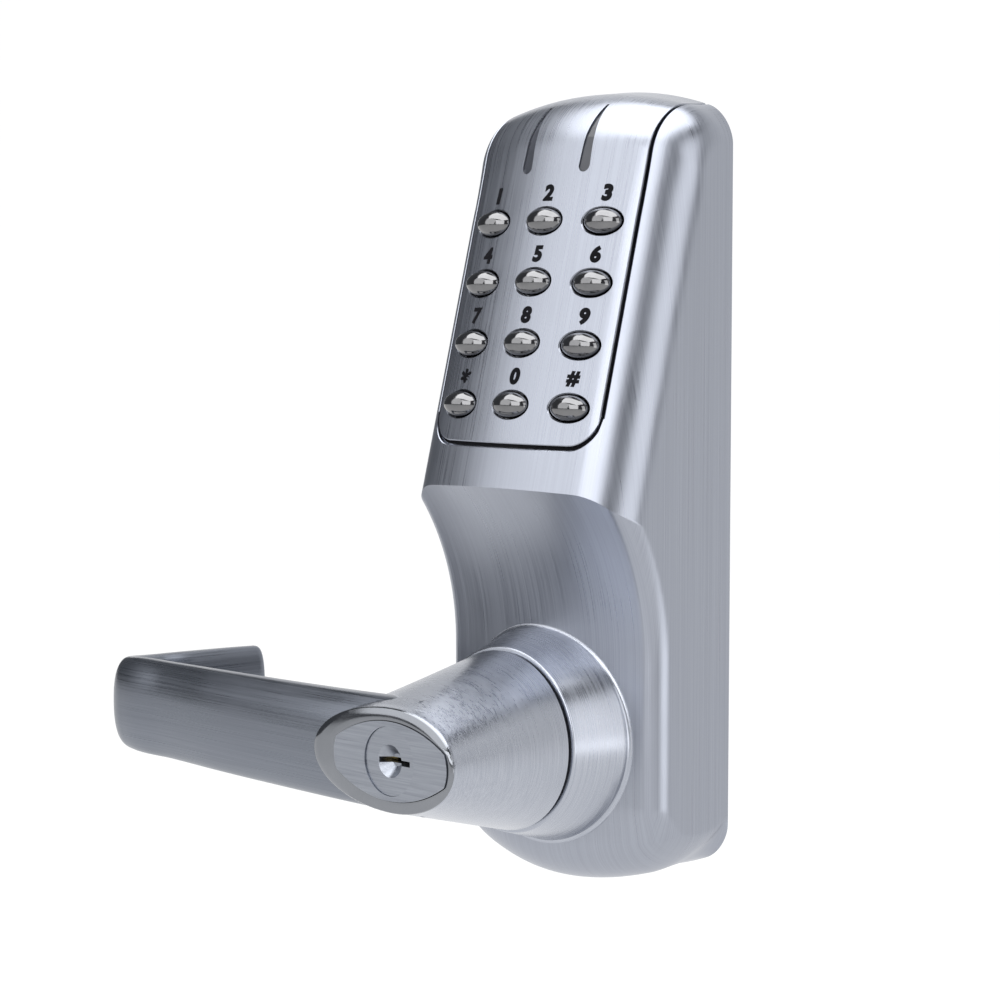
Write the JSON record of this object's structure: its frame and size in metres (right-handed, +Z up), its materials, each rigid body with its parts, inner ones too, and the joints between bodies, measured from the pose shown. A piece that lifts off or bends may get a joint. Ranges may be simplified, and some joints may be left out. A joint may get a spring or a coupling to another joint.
{
  "type": "keypad lever lock",
  "caption": "Outside unit of a door lock with a push-button keypad, a turning lever and a key cylinder in the lever's hub.",
  "frame": {"origin": "where the lever's turning axis meets the door surface", "axes": "+Z up, -Y out of the door towards the user, +X to the right seen from the front; the lever points to -X"},
  "size_m": [0.1667, 0.0884, 0.2095],
  "materials": {
    "black_plastic": "matt black",
    "black_rubber": "matt black",
    "black_seal": "matt black",
    "brass": "turned brass",
    "bronze": "sintered bronze",
    "brushed_casting": "brushed satin, grain up and down",
    "brushed_plate": "brushed satin, grain up and down",
    "circuit_board": "green solder mask",
    "cylinder_face": "fine brushed",
    "plated_steel": "zinc plated",
    "polished_button": "polished, dark",
    "satin_collar": "turned satin",
    "satin_lever": "brushed satin along the lever, polished bevel round the cylinder",
    "smoked_plastic": "smoked translucent",
    "spring_steel": "dark spring steel",
    "white_plastic": "off-white"
  },
  "bodies": {
    "case": {"casting": "brushed_casting", "keypad_plate": "brushed_plate", "plate_seal": "black_seal", "lever_collar": "satin_collar", "lever_bush": "bronze", "rubber_mat": "black_rubber", "circuit_board": "circuit_board", "board_chips": "black_plastic", "board_screws": "plated_steel", "board_connector": "white_plastic", "buzzer": "black_plastic", "status_leds": "white_plastic", "light_pipe_left": "smoked_plastic", "light_pipe_right": "smoked_plastic", "plate_screws": "plated_steel", "clutch_motor": "plated_steel", "motor_bracket": "black_plastic", "bracket_screws": "plated_steel", "return_spring": "spring_steel", "back_plate": "plated_steel", "back_screws": "plated_steel", "collar_screws": "plated_steel", "fixing_posts": "plated_steel", "door_gasket": "black_seal", "cable_grommet": "black_rubber"},
    "key_1": {"button_1": "polished_button"},
    "key_2": {"button_2": "polished_button"},
    "key_3": {"button_3": "polished_button"},
    "key_4": {"button_4": "polished_button"},
    "key_5": {"button_5": "polished_button"},
    "key_6": {"button_6": "polished_button"},
    "key_7": {"button_7": "polished_button"},
    "key_8": {"button_8": "polished_button"},
    "key_9": {"button_9": "polished_button"},
    "key_star": {"button_star": "polished_button"},
    "key_0": {"button_0": "polished_button"},
    "key_hash": {"button_hash": "polished_button"},
    "lever": {"lever_handle": "satin_lever", "drive_plate": "plated_steel", "circlip": "spring_steel", "cylinder_body": "cylinder_face", "driver_pins": "plated_steel", "pin_springs": "spring_steel", "cylinder_screw": "spring_steel"},
    "plug": {"key_plug": "cylinder_face", "key_pins": "brass", "plug_clip": "spring_steel", "tailpiece": "plated_steel"},
    "spindle": {"spindle_driver": "plated_steel"},
    "cam": {"drive_cam": "brass"},
    "yoke": {"clutch_yoke": "plated_steel"},
    "pin": {"clutch_pin": "plated_steel"}
  },
  "joints": [
    {"name": "press_1", "type": "slide", "parent": "case", "child": "key_1", "axis": [0, 0.9647, -0.2632], "range_m": [0, 0.0012], "stiffness_N_per_m": 1500, "springref_m": -0.0005},
    {"name": "press_2", "type": "slide", "parent": "case", "child": "key_2", "axis": [0, 0.9647, -0.2632], "range_m": [0, 0.0012], "stiffness_N_per_m": 1500, "springref_m": -0.0005},
    {"name": "press_3", "type": "slide", "parent": "case", "child": "key_3", "axis": [0, 0.9647, -0.2632], "range_m": [0, 0.0012], "stiffness_N_per_m": 1500, "springref_m": -0.0005},
    {"name": "press_4", "type": "slide", "parent": "case", "child": "key_4", "axis": [0, 0.9647, -0.2632], "range_m": [0, 0.0012], "stiffness_N_per_m": 1500, "springref_m": -0.0005},
    {"name": "press_5", "type": "slide", "parent": "case", "child": "key_5", "axis": [0, 0.9647, -0.2632], "range_m": [0, 0.0012], "stiffness_N_per_m": 1500, "springref_m": -0.0005},
    {"name": "press_6", "type": "slide", "parent": "case", "child": "key_6", "axis": [0, 0.9647, -0.2632], "range_m": [0, 0.0012], "stiffness_N_per_m": 1500, "springref_m": -0.0005},
    {"name": "press_7", "type": "slide", "parent": "case", "child": "key_7", "axis": [0, 0.9647, -0.2632], "range_m": [0, 0.0012], "stiffness_N_per_m": 1500, "springref_m": -0.0005},
    {"name": "press_8", "type": "slide", "parent": "case", "child": "key_8", "axis": [0, 0.9647, -0.2632], "range_m": [0, 0.0012], "stiffness_N_per_m": 1500, "springref_m": -0.0005},
    {"name": "press_9", "type": "slide", "parent": "case", "child": "key_9", "axis": [0, 0.9647, -0.2632], "range_m": [0, 0.0012], "stiffness_N_per_m": 1500, "springref_m": -0.0005},
    {"name": "press_star", "type": "slide", "parent": "case", "child": "key_star", "axis": [0, 0.9647, -0.2632], "range_m": [0, 0.0012], "stiffness_N_per_m": 1500, "springref_m": -0.0005},
    {"name": "press_0", "type": "slide", "parent": "case", "child": "key_0", "axis": [0, 0.9647, -0.2632], "range_m": [0, 0.0012], "stiffness_N_per_m": 1500, "springref_m": -0.0005},
    {"name": "press_hash", "type": "slide", "parent": "case", "child": "key_hash", "axis": [0, 0.9647, -0.2632], "range_m": [0, 0.0012], "stiffness_N_per_m": 1500, "springref_m": -0.0005},
    {"name": "lever_turn", "type": "hinge", "parent": "case", "child": "lever", "pos_m": [0, 0, 0], "axis": [0, -1, 0], "range_deg": [0, 50], "stiffness_Nm_per_rad": 1, "springref_deg": -40.11},
    {"name": "spindle_turn", "type": "hinge", "parent": "case", "child": "spindle", "pos_m": [0, 0, 0], "axis": [0, -1, 0], "range_deg": [0, 50]},
    {"name": "key_turn", "type": "hinge", "parent": "lever", "child": "plug", "pos_m": [0, -0.07, 0], "axis": [0, -1, 0], "range_deg": [-90, 90]},
    {"name": "cam_turn", "type": "hinge", "parent": "case", "child": "cam", "pos_m": [0, -0.009, 0.035], "axis": [0, 0, 1], "range_deg": [0, 360]},
    {"name": "yoke_slide", "type": "slide", "parent": "case", "child": "yoke", "axis": [0, 0, -1], "range_m": [0, 0.0025]},
    {"name": "pin_slide", "type": "slide", "parent": "lever", "child": "pin", "axis": [0, 0, -1], "range_m": [0, 0.0025]}
  ],
  "couplings": [
    {"joint": "spindle_turn", "follows": "lever_turn", "ratio": 1},
    {"joint": "cam_turn", "follows": "yoke_slide", "rad_per_m": 2513.3},
    {"joint": "pin_slide", "follows": "yoke_slide", "ratio": 1}
  ]
}
